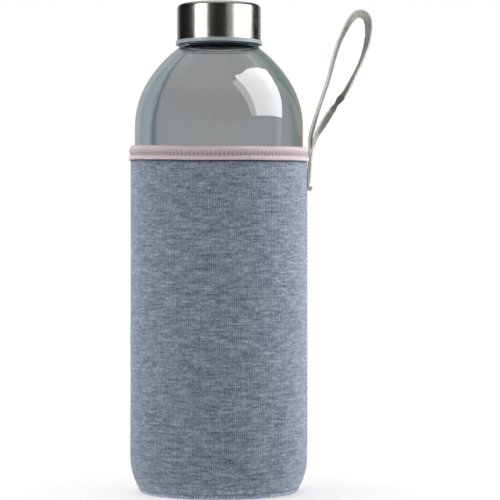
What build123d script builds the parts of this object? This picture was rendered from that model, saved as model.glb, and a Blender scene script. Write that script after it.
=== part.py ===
from build123d import *
import math
import os

# A screw-top glass water bottle in a fitted, padded knit sleeve with a wrist loop.
# Millimetres, +Z up, origin on the floor under the middle of the bottle. The wrist loop is at +X.

os.makedirs("parts", exist_ok=True)

# --- driving dimensions -------------------------------------------------------------------------

overall_height = 249.0       # floor to the top of the lid
running_gap = 0.3            # between curved faces of pieces that move past each other

# Sleeve: three bonded layers, a knit face outside, foam, and a knit lining inside
sleeve_radius = 45.2         # outside of the straight wall
knit_thickness = 0.35
foam_thickness = 1.2
lining_thickness = 0.35
heel_height = 18.5           # where the straight wall starts to curve in to the base
heel_radius = 33.0           # outside radius of that curve
base_seam_height = 2.5       # seam between the wall and the base panel
base_edge_fillet = 0.4
base_lining_bottom = 2.15
side_seam_low = 24.0         # the wall's one upright seam, under the wrist loop
side_seam_high = 150.0

# Binding: a folded tape over the top edge of the sleeve
hem_top = 175.5
hem_bottom = 168.7
hem_radius = 45.9
hem_fold = 1.0               # tape over the top of the layers
hem_inner_bottom = 169.5     # lower end of the fold inside the sleeve
hem_outer_fillet = 1.1
hem_inner_fillet = 0.8
hem_lip_fillet = 0.3
hem_stitch_height = 170.9

# Stitches and the shallow channels that they lie in
stitch_size = 0.3
stitch_length = 1.6
stitch_pitch = 2.15
channel_depth = 0.25
channel_width = 0.9
base_channel_width = 0.5
base_channel_shift = 0.1      # out from the seam, where the wall leans

# Glass bottle
glass_radius = 43.0
glass_wall = 2.4
shoulder_height = 186.5      # top of the straight wall, where the dome starts
dome_radius = 44.04          # lower arc of the dome
dome_turn = 32.6             # degrees that the lower arc turns
crown_radius = 65.2          # flatter upper arc, up to the neck
neck_radius = 20.4           # plain band under the lid
neck_top = 228.2             # top of that band
neck_fillet = 0.8
thread_root_radius = 18.3
thread_crest_radius = 19.4
bore_radius = 15.75
rim_height = 245.4
rim_fillet = 0.9
base_thickness = 5.0
punt_height = 2.5            # hollow under the base
punt_radius = 27.0
outer_heel_fillet = 5.0
inner_heel_fillet = 9.0
throat_fillet = 4.0          # where the dome's inside meets the bore

# Lid: steel shell over a threaded plastic liner, with a soft washer that seals on the rim
lid_radius = 21.4
lid_wall = 0.5
lid_bottom = 230.4
lid_edge_fillet = 1.8
flange_radius = 22.1
flange_bottom = 228.6
flange_fillet = 0.8
liner_bore_radius = 19.7
liner_crest_radius = 18.65
liner_top_thickness = 1.5
retainer_radius = 14.4       # rib inside the liner that the washer fits round
retainer_wall = 1.2
retainer_depth = 1.2
washer_thickness = 1.5
washer_outer_radius = 18.3
washer_inner_radius = 14.7
seal_gap = 0.05

# Screw thread, one start, right-handed
thread_pitch = 4.2
thread_turns = 1.5
neck_thread_start = 234.0
neck_ridge_base = 2.4
neck_ridge_crest = 1.0
liner_ridge_base = 1.5
liner_ridge_crest = 0.8
ridge_root_depth = 0.4       # how far a ridge reaches into the wall it stands on
ridge_sections = 16
ridge_end_scale = 0.25       # a ridge fades to this share of its size at its ends
ridge_end_share = 0.15       # share of its length that each fade takes

# Wrist loop: a flat tape whose two ends are sewn together down the side of the sleeve
tape_width = 6.0
tape_thickness = 1.4
tail_thickness = 1.05        # each of the two sewn ends, pressed flatter
tail_bottom = 153.6
tail_top = 175.2
tail_hem_x = 46.0            # inner face of the sewn ends, beside the binding
tail_wall_x = 45.3           # and beside the sleeve wall below it
tail_curl_radius = 1.3       # the outer end turns over in a small curl
tail_step = 2.0              # height over which the sewn ends step in below the binding
whip_stitches = 9            # slanting stitches across the sewn ends
whip_slant = 20
loop_route = [               # X and Z of the loop's middle line, in the plane Y = 0
    (46.75, 175.5),
    (46.9, 181.5),
    (48.9, 188.6),
    (52.0, 198.3),
    (56.0, 209.6),
    (58.4, 219.6),
    (61.3, 229.6),
    (65.0, 237.4),
    (67.8, 242.2),
    (70.7, 244.9),
    (74.7, 244.5),
    (76.7, 240.8),
    (76.9, 234.6),
    (75.4, 227.2),
    (72.6, 219.4),
    (68.7, 211.6),
    (64.3, 203.2),
    (59.9, 198.0),
    (56.3, 192.6),
    (52.5, 186.2),
    (49.3, 181.0),
    (48.2, 175.5),
]

# --- derived ------------------------------------------------------------------------------------

foam_offset = knit_thickness
lining_offset = foam_offset + foam_thickness
inside_offset = lining_offset + lining_thickness
sleeve_inner_radius = sleeve_radius - inside_offset
heel_center = (sleeve_radius - heel_radius, heel_height)
layers_top = hem_top - hem_fold
base_seam_radius = heel_center[0] + math.sqrt(heel_radius**2 - (heel_height - base_seam_height) ** 2)
base_stitch_radius = base_seam_radius + base_channel_shift
glass_bottom = base_seam_height + running_gap
glass_heel_radius = glass_radius - heel_center[0]
liner_radius = lid_radius - lid_wall
liner_top = overall_height - lid_wall
liner_ceiling = liner_top - liner_top_thickness
washer_top = liner_ceiling - seal_gap


# --- helpers ------------------------------------------------------------------------------------


def write(piece, label):
    """Label a finished piece and write it as its own file."""
    piece.part.label = label
    export_step(piece.part, f"parts/{label}.step")


def corner(sketch, point):
    """The corner of a profile that lies nearest to a point."""
    return sketch.vertices().sort_by_distance(Vector(point))[0]


def inside_of_sleeve(offset, low, high):
    """Half section of the space that far inside the sleeve's outside face, between two heights."""
    with BuildSketch(mode=Mode.PRIVATE) as section:
        with BuildLine():
            heel = CenterArc(heel_center, heel_radius - offset, -90, 90)
            axis_low = (0, (heel @ 0).Y)
            Polyline(heel @ 1, (sleeve_radius - offset, hem_top), (0, hem_top), axis_low, heel @ 0)
        make_face()
        with Locations((0, low)):
            Rectangle(sleeve_radius, high - low, align=(Align.MIN, Align.MIN), mode=Mode.INTERSECT)
    return section.sketch


def revolve_layer(outer_offset, inner_offset, low, high):
    """One layer of the sleeve's wall, between two distances from its outside face."""
    with BuildSketch(Plane.XZ) as section:
        add(inside_of_sleeve(outer_offset, low, high))
        add(inside_of_sleeve(inner_offset, low, high), mode=Mode.SUBTRACT)
    revolve(section.sketch, axis=Axis.Z)


def ring_channel(radius, height, width):
    """A shallow channel round the outside of a wall, for a row of stitches."""
    with BuildSketch(Plane.XZ) as section:
        with Locations((radius, height)):
            Rectangle(2 * channel_depth, width)
    revolve(section.sketch, axis=Axis.Z, mode=Mode.SUBTRACT)


def ring_of_stitches(radius, height):
    """Separate stitches, end to end in a ring channel."""
    count = round(2 * math.pi * radius / stitch_pitch)
    with Locations((0, 0, height)):
        with PolarLocations(radius - channel_depth, count):
            Box(stitch_size, stitch_length, stitch_size, align=(Align.MIN, Align.CENTER, Align.CENTER))


def thread_ridge(root_radius, crest_radius, base_width, crest_width, start_height):
    """A helical ridge that stands out from, or in from, a round wall and fades at both ends."""
    rise = thread_pitch * thread_turns
    helix = Helix(thread_pitch, rise, root_radius, center=(0, 0, start_height), mode=Mode.PRIVATE)
    height = crest_radius - root_radius
    root = -math.copysign(ridge_root_depth, height)
    sections = []
    for i in range(ridge_sections + 1):
        along = i / ridge_sections
        fade = min(along, 1 - along) / ridge_end_share
        scale = min(1, ridge_end_scale + (1 - ridge_end_scale) * fade)
        crest = scale * height
        half_base = scale * base_width / 2
        half_crest = scale * crest_width / 2
        point = helix @ along
        across = Plane(origin=point, x_dir=Vector(point.X, point.Y, 0), z_dir=helix % along)
        with BuildSketch(across, mode=Mode.PRIVATE) as section:
            with BuildLine():
                Polyline(
                    (root, -half_base),
                    (crest, -half_crest),
                    (crest, half_crest),
                    (root, half_base),
                    close=True,
                )
            make_face()
        sections.append(section.sketch.face())
    sweep(sections=sections, path=helix, multisection=True, is_frenet=True)


def flat_tape(points, radii, thickness):
    """A flat tape, as wide as the wrist loop, along a route in the plane Y = 0."""
    with BuildSketch(Plane.XZ) as section:
        with BuildLine():
            FilletPolyline(*points, radius=radii)
        trace(line_width=thickness)
    extrude(section.sketch, amount=tape_width / 2, both=True)


# --- sleeve: wall -------------------------------------------------------------------------------

side_seam_middle = (side_seam_low + side_seam_high) / 2
side_seam_length = side_seam_high - side_seam_low
side_seam_count = round(side_seam_length / stitch_pitch)
side_seam_pitch = side_seam_length / side_seam_count

with BuildPart() as sleeve_knit:
    revolve_layer(0, foam_offset, base_seam_height, layers_top)
    ring_channel(base_stitch_radius, base_seam_height, base_channel_width)
    with Locations((sleeve_radius, 0, side_seam_middle)):
        Box(2 * channel_depth, channel_width, side_seam_length, mode=Mode.SUBTRACT)
write(sleeve_knit, "sleeve_knit")

with BuildPart() as sleeve_foam:
    revolve_layer(foam_offset, lining_offset, base_seam_height, layers_top)
write(sleeve_foam, "sleeve_foam")

with BuildPart() as sleeve_lining:
    revolve_layer(lining_offset, inside_offset, base_seam_height, hem_inner_bottom)
write(sleeve_lining, "sleeve_lining")

with BuildPart() as side_seam_stitching:
    for i in range(side_seam_count):
        with Locations((sleeve_radius - channel_depth, 0, side_seam_low + (i + 0.5) * side_seam_pitch)):
            Box(stitch_size, stitch_size, stitch_length, align=(Align.MIN, Align.CENTER, Align.CENTER))
write(side_seam_stitching, "side_seam_stitching")

# --- sleeve: base panel -------------------------------------------------------------------------

with BuildPart() as base_knit:
    with BuildSketch(Plane.XZ):
        outline = add(inside_of_sleeve(0, 0, base_seam_height))
        fillet(corner(outline, (base_seam_radius, 0)), base_edge_fillet)
        add(inside_of_sleeve(foam_offset, knit_thickness, base_seam_height), mode=Mode.SUBTRACT)
    revolve(axis=Axis.Z)
    ring_channel(base_stitch_radius, base_seam_height, base_channel_width)
write(base_knit, "base_knit")

with BuildPart() as base_foam:
    with BuildSketch(Plane.XZ):
        add(inside_of_sleeve(foam_offset, knit_thickness, base_seam_height))
        add(inside_of_sleeve(lining_offset, base_lining_bottom, base_seam_height), mode=Mode.SUBTRACT)
    revolve(axis=Axis.Z)
write(base_foam, "base_foam")

with BuildPart() as base_lining:
    with BuildSketch(Plane.XZ):
        add(inside_of_sleeve(lining_offset, base_lining_bottom, base_seam_height))
    revolve(axis=Axis.Z)
write(base_lining, "base_lining")

with BuildPart() as base_seam_stitching:
    ring_of_stitches(base_stitch_radius, base_seam_height)
write(base_seam_stitching, "base_seam_stitching")

# --- sleeve: binding ----------------------------------------------------------------------------

with BuildPart() as top_binding:
    with BuildSketch(Plane.XZ):
        with BuildLine():
            Polyline(
                (sleeve_radius, hem_bottom),
                (hem_radius, hem_bottom),
                (hem_radius, hem_top),
                (sleeve_inner_radius, hem_top),
                (sleeve_inner_radius, hem_inner_bottom),
                (sleeve_radius - lining_offset, hem_inner_bottom),
                (sleeve_radius - lining_offset, layers_top),
                (sleeve_radius, layers_top),
                close=True,
            )
        folded = make_face()
        fillet(corner(folded, (hem_radius, hem_top)), hem_outer_fillet)
        fillet(corner(folded, (sleeve_inner_radius, hem_top)), hem_inner_fillet)
        fillet(corner(folded, (hem_radius, hem_bottom)), hem_lip_fillet)
    revolve(axis=Axis.Z)
    ring_channel(hem_radius, hem_stitch_height, channel_width)
write(top_binding, "top_binding")

with BuildPart() as binding_stitching:
    ring_of_stitches(hem_radius, hem_stitch_height)
write(binding_stitching, "binding_stitching")

# --- glass bottle -------------------------------------------------------------------------------

dome_center = Vector(glass_radius - dome_radius, shoulder_height)
crown_center = dome_center + Vector(dome_radius - crown_radius, 0).rotate(Axis.Z, dome_turn)
inner_radius = glass_radius - glass_wall
inner_bottom = glass_bottom + base_thickness
heel_turn = math.degrees(math.asin((heel_height - glass_bottom) / glass_heel_radius))


def dome_outline(offset, neck_end_radius):
    """The dome's two arcs that far inside its outside face, from the shoulder to the neck."""
    lower = CenterArc(dome_center, dome_radius - offset, 0, dome_turn)
    neck_angle = math.degrees(math.acos((neck_end_radius - crown_center.X) / (crown_radius - offset)))
    upper = CenterArc(crown_center, crown_radius - offset, dome_turn, neck_angle - dome_turn)
    return lower, upper


with BuildPart() as bottle_glass:
    with BuildSketch(Plane.XZ):
        with BuildLine():
            under = TangentArc((0, glass_bottom + punt_height), (punt_radius, glass_bottom), tangent=(1, 0))
            heel = CenterArc(heel_center, glass_heel_radius, -heel_turn, heel_turn)
            Line(under @ 1, heel @ 0)
            outer_dome, outer_crown = dome_outline(0, neck_radius)
            Line(heel @ 1, outer_dome @ 0)
            neck_step = (thread_root_radius, neck_top)
            neck_rim = (thread_root_radius, rim_height)
            bore_rim = (bore_radius, rim_height)
            Polyline(outer_crown @ 1, (neck_radius, neck_top), neck_step, neck_rim, bore_rim)
            inner_dome, inner_crown = dome_outline(glass_wall, bore_radius)
            Line(bore_rim, inner_crown @ 1)
            floor = TangentArc((0, inner_bottom + punt_height), (punt_radius, inner_bottom), tangent=(1, 0))
            Polyline(floor @ 1, (inner_radius, inner_bottom), inner_dome @ 0)
            Line(floor @ 0, under @ 0)
        wall = make_face()
        fillet(corner(wall, heel @ 0), outer_heel_fillet)
        fillet(corner(wall, (inner_radius, inner_bottom)), inner_heel_fillet)
        fillet(corner(wall, outer_crown @ 1), neck_fillet)
        fillet(corner(wall, (neck_radius, neck_top)), neck_fillet)
        fillet(corner(wall, neck_step), neck_fillet)
        fillet(corner(wall, neck_rim), rim_fillet)
        fillet(corner(wall, bore_rim), rim_fillet)
        fillet(corner(wall, inner_crown @ 1), throat_fillet)
    revolve(axis=Axis.Z)
    thread_ridge(
        thread_root_radius, thread_crest_radius, neck_ridge_base, neck_ridge_crest, neck_thread_start
    )
write(bottle_glass, "bottle_glass")

# --- lid ----------------------------------------------------------------------------------------

with BuildPart() as lid_seal:
    with BuildSketch(Plane.XY.offset(washer_top - washer_thickness)):
        Circle(washer_outer_radius)
        Circle(washer_inner_radius, mode=Mode.SUBTRACT)
    extrude(amount=washer_thickness)
write(lid_seal, "lid_seal")

with BuildPart() as lid_liner:
    with BuildSketch(Plane.XZ):
        with BuildLine():
            Polyline(
                (0, liner_top),
                (liner_radius, liner_top),
                (liner_radius, lid_bottom),
                (flange_radius, lid_bottom),
                (flange_radius, flange_bottom),
                (liner_bore_radius, flange_bottom),
                (liner_bore_radius, liner_ceiling),
                (retainer_radius, liner_ceiling),
                (retainer_radius, liner_ceiling - retainer_depth),
                (retainer_radius - retainer_wall, liner_ceiling - retainer_depth),
                (retainer_radius - retainer_wall, liner_ceiling),
                (0, liner_ceiling),
                close=True,
            )
        liner_wall = make_face()
        fillet(corner(liner_wall, (liner_radius, liner_top)), lid_edge_fillet - lid_wall)
        fillet(corner(liner_wall, (flange_radius, lid_bottom)), flange_fillet)
        fillet(corner(liner_wall, (flange_radius, flange_bottom)), flange_fillet)
    revolve(axis=Axis.Z)
    thread_ridge(
        liner_bore_radius,
        liner_crest_radius,
        liner_ridge_base,
        liner_ridge_crest,
        neck_thread_start - thread_pitch / 2,
    )
write(lid_liner, "lid_liner")

with BuildPart() as lid_shell:
    with BuildSketch(Plane.XY.offset(lid_bottom)):
        Circle(lid_radius)
    extrude(amount=overall_height - lid_bottom)
    fillet(lid_shell.edges().group_by(Axis.Z)[-1], lid_edge_fillet)
    open_end = lid_shell.faces().sort_by(Axis.Z)[0]
    offset(amount=-lid_wall, openings=open_end)
write(lid_shell, "lid_shell")

# --- wrist loop ---------------------------------------------------------------------------------

loop_radii = []
for before, point, after in zip(loop_route, loop_route[1:], loop_route[2:]):
    arriving = Vector(*point) - Vector(*before)
    leaving = Vector(*after) - Vector(*point)
    half_turn = math.radians(arriving.get_angle(leaving)) / 2
    loop_radii.append(0.45 * min(arriving.length, leaving.length) / math.tan(half_turn))
print("wrist loop radii, mm:", [round(radius, 1) for radius in loop_radii])

with BuildPart() as strap_loop:
    flat_tape(loop_route, loop_radii, tape_thickness)
loop_length = strap_loop.part.volume / (tape_width * tape_thickness)
print("wrist loop length, mm:", round(loop_length, 1))
write(strap_loop, "strap_loop")

# Each end of the tape runs down past the binding, steps in to the wall, and stops; the outer one curls.
hem_layer_x = tail_hem_x + tail_thickness / 2
wall_layer_x = tail_wall_x + tail_thickness / 2
bend_radius = 2.8
step_bottom = hem_bottom - tail_step
tail_route = [
    (hem_layer_x, tail_top),
    (hem_layer_x, hem_bottom),
    (wall_layer_x, step_bottom),
    (wall_layer_x, tail_bottom + 2 * tail_curl_radius),
]

with BuildPart() as strap_tail:
    flat_tape(tail_route, bend_radius, tail_thickness)
    outer_route = [(x + tail_thickness, z) for x, z in tail_route]
    flat_tape(outer_route, bend_radius, tail_thickness)
    curl_center = (tail_wall_x + tail_curl_radius, tail_bottom + tail_curl_radius)
    with BuildSketch(Plane.XZ):
        with Locations(curl_center):
            Circle(tail_curl_radius)
    extrude(amount=tape_width / 2, both=True)
write(strap_tail, "strap_tail")

whip_rise = (tape_width * math.sin(math.radians(whip_slant)) + stitch_size) / 2
low_stitch = tail_bottom + 3 * tail_curl_radius
whip_pitch = (hem_stitch_height - low_stitch) / whip_stitches

with BuildPart() as strap_stitching:
    for i in range(whip_stitches):
        height = low_stitch + (i + 0.5) * whip_pitch
        up_the_step = min(max((height + whip_rise - step_bottom) / tail_step, 0), 1)
        inner_x = tail_wall_x + up_the_step * (tail_hem_x - tail_wall_x)
        with Locations(Location((inner_x + 2 * tail_thickness, 0, height), (whip_slant, 0, 0))):
            Box(stitch_size, tape_width, stitch_size, align=(Align.MIN, Align.CENTER, Align.CENTER))
write(strap_stitching, "strap_stitching")
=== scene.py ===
import math

import bpy
import numpy as np
from mathutils import Matrix, Vector


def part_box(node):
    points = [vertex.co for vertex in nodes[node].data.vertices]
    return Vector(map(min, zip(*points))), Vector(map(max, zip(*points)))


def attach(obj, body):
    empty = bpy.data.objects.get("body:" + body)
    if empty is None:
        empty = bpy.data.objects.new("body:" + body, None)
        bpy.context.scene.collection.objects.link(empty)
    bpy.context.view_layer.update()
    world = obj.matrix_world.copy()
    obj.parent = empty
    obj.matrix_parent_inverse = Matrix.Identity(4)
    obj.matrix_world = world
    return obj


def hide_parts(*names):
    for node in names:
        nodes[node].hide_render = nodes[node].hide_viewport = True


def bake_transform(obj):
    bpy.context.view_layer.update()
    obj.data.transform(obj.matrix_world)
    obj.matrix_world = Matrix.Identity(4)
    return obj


# A glass water bottle in a knit sleeve. Metres; MM turns millimetres into metres.

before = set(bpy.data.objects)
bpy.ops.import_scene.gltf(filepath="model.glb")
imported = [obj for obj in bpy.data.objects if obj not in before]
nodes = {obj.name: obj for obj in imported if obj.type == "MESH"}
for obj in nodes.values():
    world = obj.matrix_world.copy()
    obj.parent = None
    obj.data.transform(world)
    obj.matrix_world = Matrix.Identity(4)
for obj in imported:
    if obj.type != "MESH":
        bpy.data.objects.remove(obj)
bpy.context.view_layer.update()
MM = 0.001


# --- places taken from the frame ----------------------------------------------------------------

knit_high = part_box("sleeve_knit")[1]
hem_low, hem_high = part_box("top_binding")
base_lining_low, base_lining_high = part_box("base_lining")
lining_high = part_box("sleeve_lining")[1]

LINING_THICKNESS = 0.35 * MM
HALF_STITCH = 0.15 * MM      # half the height of a CAD stitch of the binding

SLEEVE_R = knit_high.x
HEM_R = hem_high.x
HEM_TOP = hem_high.z
HEM_BOTTOM = hem_low.z
LAYERS_TOP = knit_high.z
LINING_TOP = LAYERS_TOP - 4 * MM
SEAM_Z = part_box("sleeve_knit")[0].z
INSIDE_R = lining_high.x - LINING_THICKNESS
STITCH_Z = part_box("binding_stitching")[0].z + HALF_STITCH

HEEL_RADIUS = 33 * MM        # the wall's curve in to the base, as in the CAD
HEEL_Z = 18.5 * MM
STITCH_PITCH = 2.15 * MM
TAPE_WIDTH = 6 * MM
TAPE_THICKNESS = 1.4 * MM


# --- camera -------------------------------------------------------------------------------------

CAMERA_DISTANCE = 1.05
CAMERA_X = 15.9 * MM
CAMERA_HEIGHT = 113.3 * MM
CAMERA_PITCH = 0.56          # degrees up
LENS = 147.6


def make_camera():
    data = bpy.data.cameras.new("camera")
    data.sensor_width = 36
    data.lens = LENS
    camera = bpy.data.objects.new("camera", data)
    camera.location = (CAMERA_X, -CAMERA_DISTANCE, CAMERA_HEIGHT)
    camera.rotation_euler = (math.radians(90 + CAMERA_PITCH), 0, 0)
    bpy.context.scene.collection.objects.link(camera)
    bpy.context.scene.camera = camera


make_camera()


# --- mesh helpers -------------------------------------------------------------------------------


def mesh_object(name, points, faces, uvs=None, shade=None):
    """A smooth mesh from an array of points and an array of quads (or a list of faces). Its shade, one
    number a point, darkens its material: 0 leaves it, 1 makes it black, and below 0 lightens it."""
    mesh = bpy.data.meshes.new(name)
    mesh.from_pydata(np.asarray(points).tolist(), [], [list(map(int, f)) for f in faces])
    if uvs is not None:
        layer = mesh.uv_layers.new(name="cloth")
        layer.data.foreach_set("uv", np.asarray(uvs, np.float32).ravel())
    if shade is not None:
        painted = mesh.attributes.new("shade", "FLOAT", "POINT")
        painted.data.foreach_set("value", np.asarray(shade, np.float32).ravel())
    mesh.polygons.foreach_set("use_smooth", [True] * len(mesh.polygons))
    mesh.update()
    obj = bpy.data.objects.new(name, mesh)
    bpy.context.scene.collection.objects.link(obj)
    return obj


def arc(center, radius, start, end, count):
    """Points on an arc in the profile plane; angles in degrees."""
    angles = np.radians(np.linspace(start, end, count))
    return np.column_stack([center[0] + radius * np.cos(angles), center[1] + radius * np.sin(angles)])


def line(start, end, count):
    return np.linspace(start, end, count)


def smooth_loop(points, per_span):
    """A closed smooth curve through a few points (Catmull-Rom)."""
    p = np.asarray(points, float)
    out = []
    for i in range(len(p)):
        a, b, c, d = p[i - 1], p[i], p[(i + 1) % len(p)], p[(i + 2) % len(p)]
        for t in np.arange(per_span) / per_span:
            square, cube = 2 * a - 5 * b + 4 * c - d, 3 * b - a - 3 * c + d
            out.append(0.5 * ((2 * b) + (c - a) * t + square * t**2 + cube * t**3))
    return np.array(out)


def lathe(name, profile, segments, shape=None, shade=None):
    """Revolves a closed loop of (radius, height) points. shape(angle, radius, height) may move them, and
    shade(angle, radius, height) darken them. The UV map is in metres: round the axis, and along the profile."""
    profile = np.asarray(profile, float)
    rows = len(profile)
    angle = np.linspace(0, 2 * math.pi, segments, endpoint=False)
    a, r = np.meshgrid(angle, profile[:, 0], indexing="ij")
    _, z = np.meshgrid(angle, profile[:, 1], indexing="ij")
    shades = shade(a, r, z) if shade else None
    if shape:
        r, z = shape(a, r, z)
    points = np.stack([r * np.cos(a), r * np.sin(a), z], axis=-1).reshape(-1, 3)
    i, j = np.meshgrid(np.arange(segments), np.arange(rows), indexing="ij")
    ni, nj = (i + 1) % segments, (j + 1) % rows
    quads = np.stack([i * rows + j, ni * rows + j, ni * rows + nj, i * rows + nj], axis=-1).reshape(-1, 4)
    steps = np.linalg.norm(np.roll(profile, -1, axis=0) - profile, axis=1)
    along = np.concatenate([[0], np.cumsum(steps)])
    scale = profile[:, 0].max()
    u0, u1 = i * 2 * math.pi * scale / segments, (i + 1) * 2 * math.pi * scale / segments
    v0, v1 = along[j], along[j + 1]
    uvs = np.stack([u0, v0, u1, v0, u1, v1, u0, v1], axis=-1).reshape(-1, 2)
    return mesh_object(name, points, quads, uvs, shades)


def waves(angle, seed, terms, low, high):
    """A smooth, repeatable, random-looking function of the angle, between about -1 and 1."""
    random = np.random.default_rng(seed)
    total = np.zeros_like(angle)
    for _ in range(terms):
        total = total + np.sin(random.integers(low, high + 1) * angle + random.uniform(0, 2 * math.pi))
    return total / math.sqrt(terms)


def bump(x, center, width):
    """A smooth hill of height 1."""
    return np.exp(-(((x - center) / width) ** 2))


# --- material helpers ---------------------------------------------------------------------------


def new_material(name):
    """An empty node material with a Principled shader."""
    material = bpy.data.materials.new(name)
    material.use_nodes = True
    tree = material.node_tree
    tree.nodes.clear()
    shader = tree.nodes.new("ShaderNodeBsdfPrincipled")
    output = tree.nodes.new("ShaderNodeOutputMaterial")
    tree.links.new(shader.outputs[0], output.inputs["Surface"])
    return material, tree, shader


def add(tree, kind, inputs=None, **settings):
    """A node of that kind, with its settings, and its inputs set to values or linked to sockets."""
    node = tree.nodes.new("ShaderNode" + kind)
    for key, value in settings.items():
        setattr(node, key, value)
    for key, value in (inputs or {}).items():
        if isinstance(value, bpy.types.NodeSocket):
            tree.links.new(value, node.inputs[key])
        else:
            node.inputs[key].default_value = value
    return node


def calc(tree, operation, *values):
    return add(tree, "Math", dict(enumerate(values)), operation=operation).outputs[0]


def noise(tree, vector, scale, detail=2.0, roughness=0.5):
    inputs = {"Vector": vector, "Scale": scale, "Detail": detail, "Roughness": roughness}
    return add(tree, "TexNoise", inputs).outputs["Fac"]


def ramp(tree, value, stops):
    """A colour ramp; stops are (position, linear colour)."""
    node = add(tree, "ValToRGB", {"Fac": value})
    elements = node.color_ramp.elements
    while len(elements) < len(stops):
        elements.new(0.5)
    for element, (position, color) in zip(elements, stops):
        element.position = position
        element.color = (*color, 1)
    return node.outputs["Color"]


def vector(tree, x, y, z=0.0):
    return add(tree, "CombineXYZ", {"X": x, "Y": y, "Z": z}).outputs[0]


def color_into(tree, shader, color):
    """The shader's base colour, darkened by the shade painted on the mesh."""
    shade = add(tree, "Attribute", attribute_name="shade").outputs["Fac"]
    kept = calc(tree, "SUBTRACT", 1.0, shade)
    shaded = add(tree, "VectorMath", {0: color, "Scale": kept}, operation="SCALE").outputs["Vector"]
    tree.links.new(shaded, shader.inputs["Base Color"])


def bump_into(tree, shader, height, distance, strength=1.0):
    """Drives the shader's normal by a height between 0 and 1, that many metres tall."""
    node = add(tree, "Bump", {"Height": height, "Distance": distance, "Strength": strength})
    tree.links.new(node.outputs[0], shader.inputs["Normal"])


def cloth_uv(tree):
    """The cloth's own coordinates, in millimetres: along the courses, and across them."""
    split = add(tree, "SeparateXYZ", {"Vector": add(tree, "UVMap", uv_map="cloth").outputs[0]})
    return [calc(tree, "MULTIPLY", split.outputs[i], 1000.0) for i in (0, 1)]


# --- materials ----------------------------------------------------------------------------------

WALE = 0.95                  # knit: millimetres across one column of stitches
COURSE = 0.72                # and up one row


def knit_material(name, dark, middle, light, contrast=1.0):
    """Heathered jersey: columns of small V stitches, with yarn that changes shade along each row."""
    material, tree, shader = new_material(name)
    u, v = cloth_uv(tree)
    drift = calc(tree, "MULTIPLY", calc(tree, "SUBTRACT", noise(tree, vector(tree, u, v), 0.09), 0.5), 1.6)
    column = calc(tree, "DIVIDE", calc(tree, "ADD", u, drift), WALE)
    across = calc(tree, "FRACT", column)
    leg = calc(tree, "ABSOLUTE", calc(tree, "SUBTRACT", across, 0.5))
    row = calc(tree, "ADD", calc(tree, "DIVIDE", v, COURSE), calc(tree, "MULTIPLY", leg, 1.3))
    rib = calc(tree, "SINE", calc(tree, "MULTIPLY", across, math.pi))
    stitch = calc(tree, "SINE", calc(tree, "MULTIPLY", calc(tree, "FRACT", row), math.pi))
    yarn_row = calc(tree, "FLOOR", row)
    yarn_vector = vector(tree, calc(tree, "MULTIPLY", u, 0.17), calc(tree, "MULTIPLY", yarn_row, 3.7))
    yarn = noise(tree, yarn_vector, 1.0, 3, 0.6)
    slow_u, fast_v = calc(tree, "MULTIPLY", u, 0.10), calc(tree, "MULTIPLY", v, 1.0)
    streak = noise(tree, vector(tree, slow_u, fast_v, 7.0), 1.0, 4, 0.7)
    cell = vector(tree, calc(tree, "FLOOR", column), yarn_row)
    speckle = add(tree, "TexWhiteNoise", {"Vector": cell}, noise_dimensions="3D").outputs["Value"]
    cloud = noise(tree, vector(tree, u, calc(tree, "MULTIPLY", v, 2.2)), 0.12, 4, 0.6)
    fibre_vector = vector(tree, calc(tree, "MULTIPLY", u, 1.0), calc(tree, "MULTIPLY", v, 2.5))
    fibre = noise(tree, fibre_vector, 2.2, 3, 0.7)
    line_vector = vector(tree, calc(tree, "MULTIPLY", u, 0.06), calc(tree, "MULTIPLY", yarn_row, 1.9), 3.0)
    course = noise(tree, line_vector, 1.0, 2, 0.5)
    parts = ((yarn, 0.85), (streak, 0.60), (course, 0.45), (speckle, 0.22), (cloud, 0.30), (fibre, 0.60))
    shade = 0.5
    for value, weight in parts:
        centred = calc(tree, "MULTIPLY", calc(tree, "SUBTRACT", value, 0.5), weight * contrast)
        shade = calc(tree, "ADD", shade, centred)
    shade = calc(tree, "ADD", shade, calc(tree, "MULTIPLY", calc(tree, "SUBTRACT", rib, 0.75), 0.30))
    color_into(tree, shader, ramp(tree, shade, [(0.15, dark), (0.5, middle), (0.9, light)]))
    shader.inputs["Roughness"].default_value = 0.92
    shader.inputs["Sheen Weight"].default_value = 0.35
    shader.inputs["Sheen Roughness"].default_value = 0.45
    shader.inputs["Sheen Tint"].default_value = (0.80, 0.88, 1.0, 1)
    shader.inputs["Specular IOR Level"].default_value = 0.25
    height = calc(tree, "ADD", calc(tree, "MULTIPLY", rib, 0.65), calc(tree, "MULTIPLY", stitch, 0.25))
    height = calc(tree, "ADD", height, calc(tree, "MULTIPLY", fibre, 0.35))
    bump_into(tree, shader, height, 0.16 * MM, 0.8)
    return material


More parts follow.
